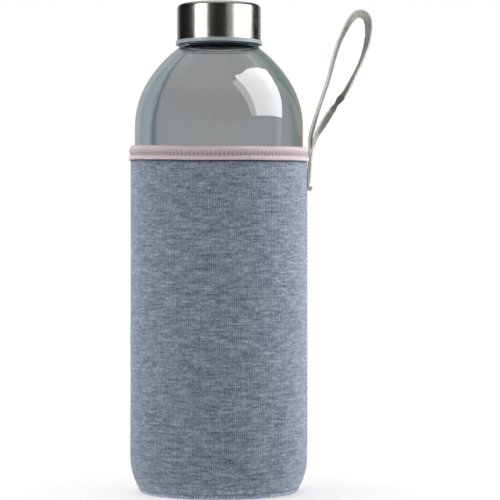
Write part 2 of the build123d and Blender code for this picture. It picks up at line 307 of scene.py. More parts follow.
def tape_material(name, dark, middle, light, thread_across, thread_along, sheen, roughness=0.85):
    """Woven tape or thread: crossing yarns of that pitch in millimetres, with slubs and fuzz."""
    material, tree, shader = new_material(name)
    u, v = cloth_uv(tree)
    warp = calc(tree, "SINE", calc(tree, "MULTIPLY", u, 2 * math.pi / thread_across))
    weft = calc(tree, "SINE", calc(tree, "MULTIPLY", v, 2 * math.pi / thread_along))
    weave = calc(tree, "ADD", calc(tree, "MULTIPLY", calc(tree, "MULTIPLY", warp, weft), 0.5), 0.5)
    fuzz = noise(tree, vector(tree, u, v), 3.0, 4, 0.7)
    slub = noise(tree, vector(tree, calc(tree, "MULTIPLY", u, 0.5), v), 0.8, 3, 0.6)
    shade = calc(tree, "ADD", calc(tree, "MULTIPLY", fuzz, 0.55), calc(tree, "MULTIPLY", slub, 0.45))
    shade = calc(tree, "ADD", shade, calc(tree, "MULTIPLY", calc(tree, "SUBTRACT", weave, 0.5), 0.12))
    color_into(tree, shader, ramp(tree, shade, [(0.28, dark), (0.5, middle), (0.72, light)]))
    shader.inputs["Roughness"].default_value = roughness
    shader.inputs["Sheen Weight"].default_value = sheen
    shader.inputs["Sheen Roughness"].default_value = 0.4
    shader.inputs["Specular IOR Level"].default_value = 0.3
    height = calc(tree, "ADD", calc(tree, "MULTIPLY", weave, 0.6), calc(tree, "MULTIPLY", fuzz, 0.6))
    bump_into(tree, shader, height, 0.09 * MM, 0.8)
    return material


def steel_material():
    """Stainless steel, brushed round the lid: fine grooves that circle the axis."""
    material, tree, shader = new_material("brushed_steel")
    place = add(tree, "SeparateXYZ", {"Vector": add(tree, "TexCoord").outputs["Object"]})
    x, y, z = (calc(tree, "MULTIPLY", place.outputs[i], 1000.0) for i in range(3))
    radius = calc(tree, "SQRT", calc(tree, "ADD", calc(tree, "MULTIPLY", x, x), calc(tree, "MULTIPLY", y, y)))
    angle = calc(tree, "ARCTAN2", y, x)
    slow = vector(tree, calc(tree, "MULTIPLY", angle, 3.0), calc(tree, "MULTIPLY", z, 1.5), radius)
    turning = calc(tree, "MULTIPLY", angle, 2.5)
    grain = vector(tree, turning, calc(tree, "MULTIPLY", z, 14.0), calc(tree, "MULTIPLY", radius, 14.0))
    fine = noise(tree, grain, 1.0, 3, 0.6)
    broad = noise(tree, slow, 1.0, 3, 0.6)
    groove, plain, ridge = (0.49, 0.465, 0.42), (0.66, 0.63, 0.58), (0.77, 0.74, 0.69)
    color = ramp(tree, fine, [(0.3, groove), (0.5, plain), (0.7, ridge)])
    tree.links.new(color, shader.inputs["Base Color"])
    worn = calc(tree, "ADD", calc(tree, "MULTIPLY", broad, 0.3), calc(tree, "MULTIPLY", fine, 0.7))
    inputs = {"Value": worn, "From Min": 0.3, "From Max": 0.7, "To Min": 0.07, "To Max": 0.22}
    rough = add(tree, "MapRange", inputs)
    tree.links.new(rough.outputs[0], shader.inputs["Roughness"])
    shader.inputs["Metallic"].default_value = 1.0
    shader.inputs["Anisotropic"].default_value = 0.85
    tangent = add(tree, "Tangent", direction_type="RADIAL", axis="Z")
    tree.links.new(tangent.outputs[0], shader.inputs["Tangent"])
    bump_into(tree, shader, fine, 0.006 * MM, 0.5)
    return material


def glass_material():
    """Bottle glass, lightly smoke-grey, with the faint ripple of a blown wall."""
    material, tree, shader = new_material("smoke_glass")
    shader.inputs["Base Color"].default_value = (0.838, 0.840, 0.852, 1)
    shader.inputs["Roughness"].default_value = 0.0
    shader.inputs["IOR"].default_value = 1.48
    shader.inputs["Transmission Weight"].default_value = 1.0
    ripple = noise(tree, add(tree, "TexCoord").outputs["Object"], 22.0, 1, 0.4)
    bump_into(tree, shader, ripple, 0.5 * MM, 0.10)
    depth = add(tree, "VolumeAbsorption", {"Color": (0.62, 0.86, 0.84, 1), "Density": 22.0})
    tree.links.new(depth.outputs[0], tree.nodes["Material Output"].inputs["Volume"])
    return material


def plastic_material(name, color, roughness, grain=60.0):
    """Moulded plastic or silicone with a fine satin grain."""
    material, tree, shader = new_material(name)
    place = add(tree, "TexCoord").outputs["Object"]
    mottle = noise(tree, place, grain, 3)
    darker = tuple(0.9 * c for c in color)
    tree.links.new(ramp(tree, mottle, [(0.3, darker), (0.7, color)]), shader.inputs["Base Color"])
    shader.inputs["Roughness"].default_value = roughness
    shader.inputs["Subsurface Weight"].default_value = 0.08
    shader.inputs["Subsurface Scale"].default_value = 1.0 * MM
    bump_into(tree, shader, noise(tree, place, 1800.0, 2), 0.02 * MM, 0.35)
    return material


def liner_material():
    """The lid's plastic liner: a glossy blue-grey ring below the steel, and black inside: painted shade, for the dark
    band that shows through the neck below the ring.
    """
    material, tree, shader = new_material("liner_plastic")
    place = add(tree, "TexCoord").outputs["Object"]
    in_mm = {0: place, 1: (1000.0, 1000.0, 0.0)}
    level = add(tree, "VectorMath", in_mm, operation="MULTIPLY").outputs["Vector"]
    radius = add(tree, "VectorMath", {0: level}, operation="LENGTH").outputs["Value"]
    # painted shade: black on the liner's inside, within 20.8 mm of the axis
    inside = add(tree, "MapRange", {"Value": radius, "From Min": 20.8, "From Max": 21.0}).outputs[0]
    mottled = calc(tree, "ADD", inside, calc(tree, "MULTIPLY", noise(tree, place, 60.0, 3), 0.12))
    black, ring, paler = (0.010, 0.010, 0.011), (0.30, 0.375, 0.40), (0.33, 0.41, 0.435)
    color = ramp(tree, mottled, [(0.4, black), (0.9, ring), (1.0, paler)])
    tree.links.new(color, shader.inputs["Base Color"])
    shader.inputs["Roughness"].default_value = 0.28
    bump_into(tree, shader, noise(tree, place, 1800.0, 2), 0.02 * MM, 0.25)
    return material


def foam_material():
    """Black closed-cell foam."""
    material, tree, shader = new_material("foam")
    place = add(tree, "TexCoord").outputs["Object"]
    cells = add(tree, "TexVoronoi", {"Vector": place, "Scale": 2500.0}).outputs["Distance"]
    color = ramp(tree, cells, [(0, (0.02, 0.02, 0.022)), (0.6, (0.06, 0.06, 0.065))])
    tree.links.new(color, shader.inputs["Base Color"])
    shader.inputs["Roughness"].default_value = 0.9
    bump_into(tree, shader, cells, 0.1 * MM, 0.6)
    return material


KNIT = knit_material("knit", (0.075, 0.09, 0.13), (0.20, 0.235, 0.30), (0.42, 0.46, 0.53))
LINING = knit_material("lining", (0.10, 0.11, 0.13), (0.17, 0.19, 0.22), (0.26, 0.28, 0.32), 0.4)
THREAD = (0.2, 0.3, 0.2)     # a sewing thread's yarns across and along, in millimetres, and its sheen
BINDING = tape_material(
    "binding", (0.385, 0.305, 0.335), (0.495, 0.41, 0.44), (0.62, 0.53, 0.555), 0.45, 0.45, 0.4
)
BINDING_THREAD = tape_material(
    "binding_thread", (0.5, 0.38, 0.42), (0.66, 0.53, 0.57), (0.8, 0.68, 0.7), *THREAD
)
SEAM_THREAD = tape_material(
    "seam_thread", (0.15, 0.18, 0.23), (0.26, 0.30, 0.36), (0.42, 0.46, 0.52), *THREAD
)
TAPE = tape_material(
    "tape", (0.42, 0.40, 0.355), (0.68, 0.66, 0.60), (0.92, 0.90, 0.84), 0.6, 0.6, 0.4, roughness=0.9
)
TAPE_THREAD = tape_material(
    "tape_thread", (0.4, 0.38, 0.34), (0.62, 0.6, 0.55), (0.8, 0.78, 0.74), *THREAD
)
STEEL = steel_material()
GLASS = glass_material()
LINER = liner_material()
WASHER = plastic_material("washer_silicone", (0.70, 0.70, 0.68), 0.5)
FOAM = foam_material()


def dress(obj, material):
    """Gives a piece, or a CAD node, its material."""
    obj.data.materials.clear()
    obj.data.materials.append(material)
    return obj


def sew_in(obj, material, cad_node):
    """Dresses a piece that stands for that CAD node and rides on the sleeve."""
    dress(obj, material)
    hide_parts(cad_node)
    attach(obj, "sleeve")


for node_name, material, slot_name in (
    ("bottle_glass", GLASS, "glass"),
    ("lid_shell", STEEL, "steel"),
    ("lid_liner", LINER, "liner_plastic"),
    ("lid_seal", WASHER, "seal_rubber"),
    ("base_foam", FOAM, "foam"),
):
    dress(nodes[node_name], material)


# --- sleeve -------------------------------------------------------------------------------------

HEEL_X = SLEEVE_R - HEEL_RADIUS
WALES = round(2 * math.pi * SLEEVE_R / STITCH_PITCH)
HEM_SAG = [                  # degrees round from +X, and how far the top edge hangs below its height there
    (0, -0.6),
    (25, -1.9),
    (60, -1.0),
    (90, -0.6),
    (180, -1.4),
    (200, -1.1),
    (222, -0.1),
    (245, 1.0),
    (270, 1.4),
    (290, 1.3),
    (315, 0.7),
    (333, 0.15),
    (350, -0.4),
    (360, -0.6),
]


def sag(angle, height):
    """How far the cloth hangs lower at that place, fading out down the wall. The stops are averaged over
    the degrees on both sides, so that the edge has no corners."""
    turn = np.degrees(angle) % 360
    stops, drops = [s[0] for s in HEM_SAG], [s[1] for s in HEM_SAG]
    shifts = range(-12, 13, 4)
    drop = sum(np.interp((turn + shift) % 360, stops, drops) for shift in shifts)
    return np.clip(height / HEM_TOP, 0, 1) ** 6 * drop / len(shifts) * MM


def gathers_at(angle):
    """The small folds that the stitches pull the cloth into: 0 between them and 1 on them."""
    return 0.5 + 0.5 * np.cos(WALES * angle + 0.8 * waves(angle, 3, 4, 5, 30))


def wall_profile(outer, inner, low, high, rows):
    """A layer of the sleeve wall as a closed loop: up its outside, and down its inside."""
    turn_out = math.degrees(math.asin((HEEL_Z - low) / (HEEL_RADIUS - outer)))
    turn_in = math.degrees(math.asin((HEEL_Z - low) / (HEEL_RADIUS - inner)))
    fine_from = HEM_BOTTOM - 5 * MM
    return np.concatenate(
        [
            arc((HEEL_X, HEEL_Z), HEEL_RADIUS - outer, -turn_out, 0, rows // 5),
            line((SLEEVE_R - outer, HEEL_Z), (SLEEVE_R - outer, fine_from), rows)[1:],
            line((SLEEVE_R - outer, fine_from), (SLEEVE_R - outer, high), rows // 4)[1:],
            line((SLEEVE_R - inner, high), (SLEEVE_R - inner, HEEL_Z), rows // 6),
            arc((HEEL_X, HEEL_Z), HEEL_RADIUS - inner, 0, -turn_in, 8)[1:],
        ]
    )


def knit_shape(angle, radius, height):
    """The knit face: gathers at the base seam and under the binding, and a faint unevenness."""
    past_middle = radius - (SLEEVE_R - 0.3 * MM) + 5 * MM * bump(height, SEAM_Z, 9 * MM)
    outside = np.clip(past_middle / (0.1 * MM), 0, 1)
    gathers = gathers_at(angle)
    near_seam = bump(height, SEAM_Z, 2.6 * MM)
    move = -0.10 * MM * bump(height, SEAM_Z, 0.5 * MM) - 0.30 * MM * gathers * near_seam
    move = move - 0.10 * MM * bump(height, HEM_BOTTOM, 3 * MM) * gathers
    move = move - 0.35 * MM * bump(height, HEM_BOTTOM, 1.0 * MM)
    uneven = waves(angle + 4.0 * height / HEM_TOP, 11, 6, 2, 9) * np.sin(height / (17 * MM)) * 0.10 * MM
    radius = radius + outside * (move + uneven * np.clip(height / (20 * MM), 0, 1))
    return radius, height - sag(angle, height)


def knit_shade(angle, radius, height):
    """Painted shadow on the knit just below the binding's lip, and pale flecks just above the base seam."""
    # pale flecks just above the base seam
    pale_flecks = 0.5 + 0.5 * waves(angle, 51, 8, 20, 170)
    # painted shadow just below the binding's lip
    lip_shadow = 0.85 * bump(height, HEM_BOTTOM - 0.3 * MM, 0.85 * MM)
    return lip_shadow - 0.35 * pale_flecks * bump(height, SEAM_Z + 1.2 * MM, 1.3 * MM)


def layer_shape(angle, radius, height):
    """The hidden layers only sag with the hem."""
    return radius, height - sag(angle, height)


knit_face = lathe(
    "knit_face",
    wall_profile(0, 0.3 * MM, SEAM_Z, LAYERS_TOP - 0.3 * MM, 150),
    WALES * 6,
    knit_shape,
    knit_shade,
)
sew_in(knit_face, KNIT, "sleeve_knit")

foam_core = lathe(
    "foam_core",
    wall_profile(0.4 * MM, 1.5 * MM, SEAM_Z + 0.1 * MM, LAYERS_TOP - 0.2 * MM, 40),
    180,
    layer_shape,
)
sew_in(foam_core, FOAM, "sleeve_foam")

lining_cloth = lathe(
    "lining_cloth", wall_profile(1.55 * MM, 1.88 * MM, SEAM_Z, LINING_TOP, 80), 360, layer_shape
)
sew_in(lining_cloth, LINING, "sleeve_lining")


# Base panel: an upturned edge that bulges below the seam, and a flat bottom
def base_shape(angle, radius, height):
    edge = np.clip((radius - (SLEEVE_R - 8 * MM)) / (3 * MM), 0, 1)
    gathers = gathers_at(angle)
    return radius - edge * 0.16 * MM * gathers * bump(height, SEAM_Z, 1.4 * MM), height


def base_shade(angle, radius, height):
    """Paler round the edge."""
    return -0.45 * np.clip((radius - (SLEEVE_R - 10 * MM)) / (2 * MM), 0, 1) * (1 + 0 * angle)


SEAM_R = HEEL_X + math.sqrt(HEEL_RADIUS**2 - (HEEL_Z - SEAM_Z) ** 2)
CENTER_R = 0.4 * MM          # the small hole that a lathed disc leaves at the axis
base_edge = [
    (SEAM_R - 0.50 * MM, SEAM_Z - 0.02 * MM),
    (SEAM_R - 0.25 * MM, SEAM_Z - 0.35 * MM),
    (SEAM_R - 0.38 * MM, SEAM_Z - 1.1 * MM),
    (SEAM_R - 0.95 * MM, 0.55 * MM),
    (SEAM_R - 2.0 * MM, 0.10 * MM),
    (SEAM_R - 3.4 * MM, 0.0),
]
base_cloth = lathe(
    "base_cloth",
    np.concatenate(
        [
            line((CENTER_R, 0.40 * MM), (SEAM_R - 1.2 * MM, 0.40 * MM), 6),
            [(SEAM_R - 0.9 * MM, SEAM_Z - 0.3 * MM)],
            base_edge,
            line((SEAM_R - 4.5 * MM, 0.0), (CENTER_R, 0.12 * MM), 30),
        ]
    ),
    WALES * 6,
    base_shape,
    base_shade,
)
sew_in(base_cloth, KNIT, "base_knit")

base_inner = lathe(
    "base_lining_cloth",
    np.concatenate(
        [
            line((CENTER_R, base_lining_low.z), (base_lining_high.x, base_lining_low.z), 4),
            line((base_lining_high.x, base_lining_high.z), (CENTER_R, base_lining_high.z), 24),
        ]
    ),
    180,
)
sew_in(base_inner, LINING, "base_lining")


# --- binding ------------------------------------------------------------------------------------

STITCHES = round(2 * math.pi * HEM_R / STITCH_PITCH)
binding_loop = smooth_loop(
    [
        (HEM_R - 0.20 * MM, HEM_BOTTOM - 0.35 * MM),
        (HEM_R + 0.22 * MM, HEM_BOTTOM + 0.05 * MM),
        (HEM_R + 0.28 * MM, HEM_BOTTOM + 1.0 * MM),
        (HEM_R - 0.10 * MM, HEM_BOTTOM + 1.6 * MM),
        (HEM_R - 0.62 * MM, STITCH_Z),
        (HEM_R - 0.28 * MM, STITCH_Z + 0.8 * MM),
        (HEM_R + 0.02 * MM, STITCH_Z + 2.0 * MM),
        (HEM_R - 0.10 * MM, HEM_TOP - 1.5 * MM),
        (HEM_R - 0.80 * MM, HEM_TOP - 0.40 * MM),
        (HEM_R - 1.7 * MM, HEM_TOP - 0.05 * MM),
        (HEM_R - 2.4 * MM, HEM_TOP - 0.45 * MM),
        (INSIDE_R + 0.12 * MM, HEM_TOP - 1.5 * MM),
        (INSIDE_R + 0.10 * MM, STITCH_Z + 1.5 * MM),
        (INSIDE_R + 0.10 * MM, HEM_BOTTOM + 1.0 * MM),
        (INSIDE_R + 0.40 * MM, HEM_BOTTOM + 1.0 * MM),
        (INSIDE_R + 0.45 * MM, HEM_TOP - 1.6 * MM),
        (SLEEVE_R - 0.10 * MM, HEM_TOP - 1.5 * MM),
        (SLEEVE_R - 0.15 * MM, STITCH_Z),
        (SLEEVE_R + 0.05 * MM, HEM_BOTTOM + 1.0 * MM),
        (SLEEVE_R + 0.30 * MM, HEM_BOTTOM - 0.15 * MM),
    ],
    6,
)


def on_the_roll(radius):
    """1 on the outside of the binding, fading to 0 on the faces that lie against the cloth."""
    return np.clip((radius - SLEEVE_R - 0.1 * MM) / (0.3 * MM), 0, 1)


def needle_holes(angle):
    return np.clip(np.cos(STITCHES * angle), 0, 1) ** 2


def binding_shape(angle, radius, height):
    """Puckers between the needle holes, strongest at the stitch line, and a slightly uneven roll."""
    strength = 0.9 + 0.35 * waves(angle, 21, 5, 3, 40)
    hole = needle_holes(angle)
    move = -0.60 * MM * hole * bump(height, STITCH_Z, 0.5 * MM) * strength
    move = move - 0.18 * MM * hole * bump(height, STITCH_Z + 1.7 * MM, 1.6 * MM) * strength
    move = move - 0.06 * MM * hole * bump(height, HEM_BOTTOM + 0.8 * MM, 0.9 * MM)
    wander = waves(angle, 31, 6, 3, 14)
    move = move + 0.08 * MM * wander * bump(height, HEM_TOP - 2 * MM, 2.5 * MM)
    return radius + on_the_roll(radius) * move, height + 0.06 * MM * wander - sag(angle, height)


def binding_shade(angle, radius, height):
    """Painted light and shade: dark needle holes in a shaded groove, light and shade on the wrinkles above them and on
    the lip's scallops, a roll painted lighter at its top and darker down to the groove, a lip painted lighter, and a
    painted shadow under the lip.
    """
    uneven = 0.85 + 0.3 * waves(angle, 23, 6, 10, 130)
    # painted shade in the needle holes
    hole = np.clip(np.cos(STITCHES * angle), 0, 1) ** 1.3 * bump(height, STITCH_Z, 0.45 * MM) * uneven
    # painted light and shade on the scallops of the lip
    scallop_light_and_shade = 0.2 * np.cos(STITCHES * angle) * bump(height, STITCH_Z - 0.55 * MM, 0.3 * MM)
    # painted shade and light across the wrinkles above the stitches
    wrinkle_shade = 0.16 * (needle_holes(angle) - 0.4) * bump(height, STITCH_Z + 1.6 * MM, 1.3 * MM) * uneven
    above = np.clip((HEM_TOP - 0.4 * MM - height) / (3.2 * MM), 0, 1)
    below = np.clip((STITCH_Z + 0.1 * MM - height) / (0.5 * MM), 0, 1)
    # painted light on the top of the roll, shading down to the groove, and painted light on the lip
    roll = np.where(height > STITCH_Z, -0.32 + 0.60 * above, 0.28 - 0.50 * below)
    # painted shadow under the lip
    under = 0.75 * bump(height, HEM_BOTTOM - 0.4 * MM, 0.32 * MM)
    return np.clip(on_the_roll(radius) * (1.2 * hole + scallop_light_and_shade + wrinkle_shade + roll + under), -0.35, 0.95)


binding_tape = lathe("binding_tape", binding_loop, STITCHES * 10, binding_shape, binding_shade)
sew_in(binding_tape, BINDING, "top_binding")


# --- stitches -----------------------------------------------------------------------------------


def thread_bars(name, places, half_length, radius):
    """Short lengths of thread, thick in the middle and tucked in at both ends, at (centre, along, out)."""
    sides, steps = 6, 7
    ring = np.linspace(0, 2 * math.pi, sides, endpoint=False)
    points, faces, uvs = [], [], []
    for center, along, out in places:
        center, along, out = Vector(center), Vector(along).normalized(), Vector(out).normalized()
        side = along.cross(out)
        start = len(points)
        for step in range(steps):
            t = 2 * step / (steps - 1) - 1
            fat = radius * max(0.25, math.sqrt(1 - 0.93 * t * t))
            middle = center + along * (t * half_length) - out * (radius * 1.2 * t * t)
            points += [middle + side * (fat * math.cos(a)) + out * (fat * math.sin(a)) for a in ring]
        for step in range(steps - 1):
            for k in range(sides):
                a, b = start + step * sides + k, start + step * sides + (k + 1) % sides
                faces.append((a, b, b + sides, a + sides))
                for corner_step, corner_side in ((step, k), (step, k + 1), (step + 1, k + 1), (step + 1, k)):
                    uvs.append((corner_side * radius, corner_step * half_length / steps))
        faces.append([start + k for k in reversed(range(sides))])
        faces.append([start + (steps - 1) * sides + k for k in range(sides)])
        uvs += [(0, 0)] * (2 * sides)
    return mesh_object(name, points, faces, uvs)


def ring_places(count, radius, height, follow=True):
    """Places for stitches in a level ring, half a stitch on from +X, which can follow the hem's sag."""
    places = []
    for i in range(count):
        angle = 2 * math.pi * (i + 0.5) / count
        out = Vector((math.cos(angle), math.sin(angle), 0))
        drop = float(sag(np.array(angle), np.array(height))) if follow else 0
        places.append((out * radius + Vector((0, 0, height - drop)), (-out.y, out.x, 0), out))
    return places


binding_stitches = thread_bars(
    "binding_stitches", ring_places(STITCHES, HEM_R - 0.52 * MM, STITCH_Z), 0.75 * MM, 0.17 * MM
)
sew_in(binding_stitches, BINDING_THREAD, "binding_stitching")

base_stitches = thread_bars(
    "base_stitches", ring_places(WALES, SEAM_R - 0.35 * MM, SEAM_Z, follow=False), 0.85 * MM, 0.16 * MM
)
sew_in(base_stitches, SEAM_THREAD, "base_seam_stitching")

side_low, side_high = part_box("side_seam_stitching")
side_count = round((side_high.z - side_low.z) / STITCH_PITCH)
side_stitches = thread_bars(
    "side_stitches",
    [
        ((SLEEVE_R + 0.02 * MM, 0, side_low.z + (i + 0.5) * STITCH_PITCH), (0, 0, 1), (1, 0, 0))
        for i in range(side_count)
    ],
    0.95 * MM,
    0.15 * MM,
)
sew_in(side_stitches, SEAM_THREAD, "side_seam_stitching")


# --- wrist loop ---------------------------------------------------------------------------------

LOOP_ROUTE = [               # X and Z of the loop's middle line, in millimetres, as in the CAD
    (46.75, 175.5),
    (46.9, 181.5),
    (48.9, 188.6),
    (52.0, 198.3),
    (56.0, 209.6),
    (58.4, 219.6),
    (61.3, 229.6),
    (65.0, 237.4),
    (67.8, 242.2),
    (70.7, 244.9),
    (74.7, 244.5),
    (76.7, 240.8),
    (76.9, 234.6),
    (75.4, 227.2),
    (72.6, 219.4),
    (68.7, 211.6),
    (64.3, 203.2),
    (59.9, 198.0),
    (56.3, 192.6),
    (52.5, 186.2),
    (49.3, 181.0),
    (48.2, 175.5),
]

# How the tape turns about its middle line, at a point's place in the route: degrees from edge-on
LOOP_TWIST = [(0, 4), (1, 15), (2, 12), (2.8, 7), (3.9, 8), (5.1, 12), (6.5, 18), (8, 28), (9.5, 36)]
LOOP_TWIST += [(10.5, 37), (11.5, 33), (13, 22), (13.6, 14), (14.7, 12), (16.1, 22), (17, 90), (17.6, 152), (18.2, 150)]
LOOP_TWIST += [(19, 156), (20, 168), (21, 175)]
# The share of its width and of its thickness there, and the painted shade on its inner face (with painted light on its
# edges) and on its whole (painted light below 0)
LOOP_WIDTH = [(0, 0.9), (2, 1), (16.2, 1), (17, 0.28), (17.8, 1), (20, 1), (21, 0.8)]
LOOP_THICKNESS = [(0, 0.85), (1, 1.1), (8, 1.2), (9.5, 1.3), (16, 1.3), (20, 1.15), (21, 0.8)]
LOOP_INNER_SHADE = [(0, 0.5), (2, 0.8), (7, 0.85), (8.5, 0.35), (10.5, 0.3), (11.5, 0.6), (12.8, 0.85)]
LOOP_INNER_SHADE += [(16.2, 0.85), (17, 0.6), (17.6, 0.85), (19.3, 0.85), (20, 0.5), (21, 0.3)]
LOOP_SHADE = [(0, -0.1), (8, -0.1), (9.5, 0.1), (11, 0.1), (12, -0.1), (16.2, 0), (17, 0.2), (17.6, 0)]
LOOP_SHADE += [(21, 0)]


def spline_points(name, points):
    """The points of a smooth NURBS line through the plane Y = 0, close together."""
    data = bpy.data.curves.new(name, "CURVE")
    data.dimensions = "3D"
    data.resolution_u = 24
    spline = data.splines.new("NURBS")
    spline.points.add(len(points) - 1)
    for point, (x, z) in zip(spline.points, points):
        point.co = (x * MM, 0, z * MM, 1)
    spline.order_u = 3
    spline.use_endpoint_u = True
    curve = bpy.data.objects.new(name, data)
    bpy.context.scene.collection.objects.link(curve)
    mesh = bpy.data.meshes.new_from_object(curve)
    found = np.array([vertex.co for vertex in mesh.vertices])
    bpy.data.meshes.remove(mesh)
    bpy.data.objects.remove(curve)
    return found


def tape_section(width, thickness, cup, count=28):
    """Round-edged outline of a flat tape: across, and through towards its inner face, which is hollow."""
    turn = np.linspace(0, 2 * math.pi, count, endpoint=False)
    across = width / 2 * np.sign(np.cos(turn)) * np.abs(np.cos(turn)) ** 0.7
    through = thickness / 2 * np.sign(np.sin(turn)) * np.abs(np.sin(turn)) ** 0.8
    return across, through - cup * (1 - (2 * across / width) ** 2)


def tape(
    name, path, width, thickness, cup, twist=0.0, wide_share=1.0, thick_share=1.0, inner=0.0, whole=0.0
):
    """A tape along a path in the plane Y = 0. Twist 0 has its width along Y; it turns about the path. Inner is painted
    shade on its inner face and painted light on its edges, and whole is painted shade on all of it, painted light below
    0. Each of these is one number, or one for every point."""
    twist, wide_share, thick_share, inner, whole = (
        np.broadcast_to(value, len(path))[:, None] for value in (twist, wide_share, thick_share, inner, whole)
    )
    tangent = np.gradient(path, axis=0)
    tangent /= np.linalg.norm(tangent, axis=1)[:, None]
    inward = np.column_stack([tangent[:, 2], np.zeros(len(path)), -tangent[:, 0]])
    depth = np.array([0.0, 1.0, 0.0])
    cos, sin = np.cos(np.radians(twist)), np.sin(np.radians(twist))
    wide, face = cos * depth + sin * inward, cos * inward - sin * depth
    across, through = tape_section(width, thickness, cup)
    sides = len(across)
    random = np.random.default_rng(5)
    rough = random.normal(0, 1, (len(path), sides))
    rough = (rough + np.roll(rough, 1, axis=0) + np.roll(rough, 1, axis=1)) / 3
    points = (
        path[:, None, :]
        + wide[:, None, :] * (across * wide_share)[:, :, None]
        + face[:, None, :] * (through * thick_share + rough * 0.07 * MM)[:, :, None]
    )
    # painted shade on the inner face, and painted light on the edges
    on_face = np.clip(3.2 * through / thickness - 0.1, 0, 1)
    lit_edge = np.clip(1 - 3 * np.abs(through) / thickness, 0, 1)
    shade = whole + inner * (on_face - 0.4 * lit_edge)
    along = np.concatenate([[0], np.cumsum(np.linalg.norm(np.diff(path, axis=0), axis=1))])
    step = np.hypot(np.roll(across, -1) - across, np.roll(through, -1) - through)
    around = np.concatenate([[0], np.cumsum(step)])
    faces, uvs = [], []
    for i in range(len(path) - 1):
        for k in range(sides):
            n = (k + 1) % sides
            faces.append((i * sides + k, (i + 1) * sides + k, (i + 1) * sides + n, i * sides + n))
            uvs += [(around[k], along[i]), (around[k], along[i + 1])]
            uvs += [(around[k + 1], along[i + 1]), (around[k + 1], along[i])]
    for ring in (list(range(sides)), [(len(path) - 1) * sides + k for k in reversed(range(sides))]):
        faces.append(ring)
        uvs += [(0, 0)] * sides
    return mesh_object(name, points.reshape(-1, 3), faces, uvs, shade)


def along_route(stops, count):
    """Values given at places in the route, spread over that many samples of its smooth line."""
    place = np.linspace(0.5, len(LOOP_ROUTE) - 1.5, count)
    value = np.interp(place, [s[0] for s in stops], [s[1] for s in stops])
    kernel = np.hanning(15)
    return np.convolve(np.pad(value, 7, mode="edge"), kernel / kernel.sum(), mode="valid")


loop_path = spline_points("loop_line", LOOP_ROUTE)
wrist_loop = tape(
    "wrist_loop",
    loop_path,
    TAPE_WIDTH,
    TAPE_THICKNESS,
    0.25 * MM,
    *(
        along_route(stops, len(loop_path))
        for stops in (LOOP_TWIST, LOOP_WIDTH, LOOP_THICKNESS, LOOP_INNER_SHADE, LOOP_SHADE)
    ),
)
dress(wrist_loop, TAPE)
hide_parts("strap_loop")
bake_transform(wrist_loop)

# The two sewn ends: pressed flat against the binding and the wall, the outer one curling at its end
LAYER = 1.0 * MM
inner_end = [(46.5, 176.4), (46.4, 172.0), (46.1, 168.5), (45.85, 165.0), (45.7, 161.0), (45.6, 157.6)]
outer_end = [(48.3, 177.2), (47.8, 174.5), (47.4, 171.5), (47.05, 168.5), (46.8, 165.0), (46.55, 161.0)]
outer_end += [(46.2, 158.2), (45.7, 156.6), (45.6, 154.1), (47.5, 154.1), (47.6, 156.0), (46.0, 156.0)]
outer_end += [(46.1, 155.0), (46.8, 155.0)]


def sewn_end(name, route):
    """One end of the tape along its route, given as X and Z in millimetres, painted a little lighter all over."""
    return tape(name, spline_points(name + "_line", route), TAPE_WIDTH * 0.95, LAYER, 0.0, whole=-0.1)


tail_inner = sewn_end("tail_inner", inner_end)
tail_outer = sewn_end("tail_outer", outer_end)
for piece in (tail_inner, tail_outer):
    sew_in(piece, TAPE, "strap_tail")

# Whip stitches that slant across the sewn ends and wrap round their edges
stitch_low, stitch_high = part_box("strap_stitching")
WHIPS = 9
WHIP_MARGIN = 1.5 * MM       # from the ends of the stitching to its first and last stitch
WHIP_SLANT = 0.36
TAIL_HEIGHTS = [158, 161, 165, 168.5, 172]           # millimetres, and the outer face's X at each
TAIL_FACE = [46.7, 47.05, 47.3, 47.55, 47.9]
whip_places = []
for i in range(WHIPS):
    z = stitch_low.z + WHIP_MARGIN + i * (stitch_high.z - stitch_low.z - 2 * WHIP_MARGIN) / (WHIPS - 1)
    x = np.interp(z / MM, TAIL_HEIGHTS, TAIL_FACE) * MM
    slant = WHIP_SLANT if i % 2 else -WHIP_SLANT
    for side in (-1, 1):
        whip_places.append(((x, side * 1.45 * MM, z + side * 0.5 * MM), (0, 1, slant), (1, 0, 0)))
whip_stitches = thread_bars("whip_stitches", whip_places, 1.5 * MM, 0.17 * MM)
sew_in(whip_stitches, TAPE_THREAD, "strap_stitching")


# --- lights, world and floor --------------------------------------------------------------------


def soft_light(name, center, across, up, width, height, radiance, diffuse, glossy, only=None):
    """A rectangular softbox at a point, spanned by the directions across and up, that shines away from
    their cross product. It can be kept to diffuse or glossy light, and to some of the pieces."""
    data = bpy.data.lights.new(name, "AREA")
    data.shape = "RECTANGLE"
    data.size, data.size_y = width, height
    data.energy = radiance * math.pi * width * height
    light = bpy.data.objects.new(name, data)
    across, up = Vector(across).normalized(), Vector(up).normalized()
    away = across.cross(up).normalized()
    axes = Matrix((across, away.cross(across), away)).transposed()
    light.matrix_world = Matrix.Translation(Vector(center)) @ axes.to_4x4()
    light.visible_camera = False
    light.visible_transmission = False
    light.visible_diffuse = diffuse
    light.visible_glossy = glossy
    if only:
        receivers = bpy.data.collections.new(name + "_receivers")
        for obj in only:
            receivers.objects.link(obj)
        light.light_linking.receiver_collection = receivers
    bpy.context.scene.collection.objects.link(light)
    return light


def round_light(name, azimuth, elevation, distance, width, height, radiance, diffuse, glossy, only=None):
    """A softbox that faces the bottle. Azimuth is from the front (-Y) towards +X, in degrees."""
    a, e = math.radians(azimuth), math.radians(elevation)
    away = Vector((math.sin(a) * math.cos(e), -math.cos(a) * math.cos(e), math.sin(e)))
    across = Vector((math.cos(a), math.sin(a), 0))
    center = Vector((0, 0, 0.15)) + away * distance
    return soft_light(name, center, across, away.cross(across), width, height, radiance, diffuse, glossy, only)


